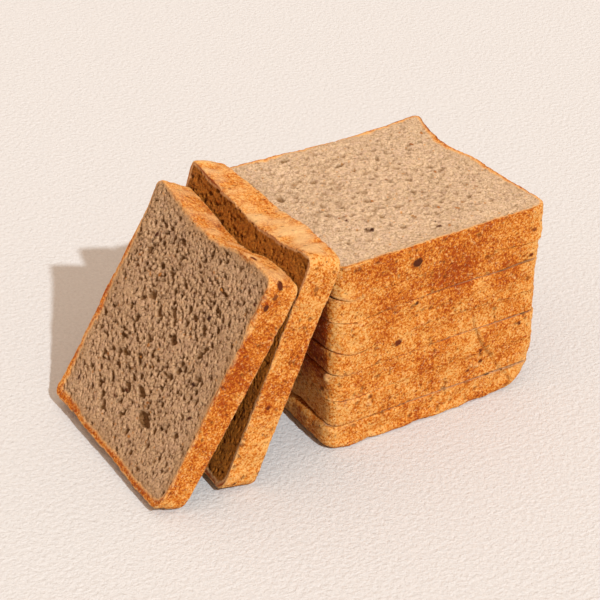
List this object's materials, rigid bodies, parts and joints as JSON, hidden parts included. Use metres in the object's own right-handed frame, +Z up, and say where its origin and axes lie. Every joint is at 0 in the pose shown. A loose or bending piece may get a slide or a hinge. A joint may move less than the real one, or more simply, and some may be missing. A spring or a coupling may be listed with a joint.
{
  "type": "sliced tin loaf",
  "caption": "Sliced wholemeal tin loaf: a square stack of slices lying on its heel, with more slices standing on edge and leaning on the stack.",
  "frame": {"origin": "centre of the stack's bottom face, on the surface it stands on", "axes": "+Z up; +X across the loaf, away from the leaning slices; +Y from the loaf's base crust towards its top crust"},
  "size_m": [0.2025, 0.1094, 0.1082],
  "materials": {
    "crust": "matte golden-brown baked crust, finely mottled, with seeds and flour specks",
    "crumb": "matte open wholemeal crumb with pores and seeds, crust at the rim"
  },
  "bodies": {
    "root": {"heel_slice": "crust", "stack_slice_2": "crust", "stack_slice_3": "crust", "stack_slice_4": "crust", "stack_slice_5": "crust", "stack_slice_6": "crust", "top_slice": "crumb", "leaning_slice_inner": "crumb", "leaning_slice_outer": "crumb"}
  },
  "joints": []
}
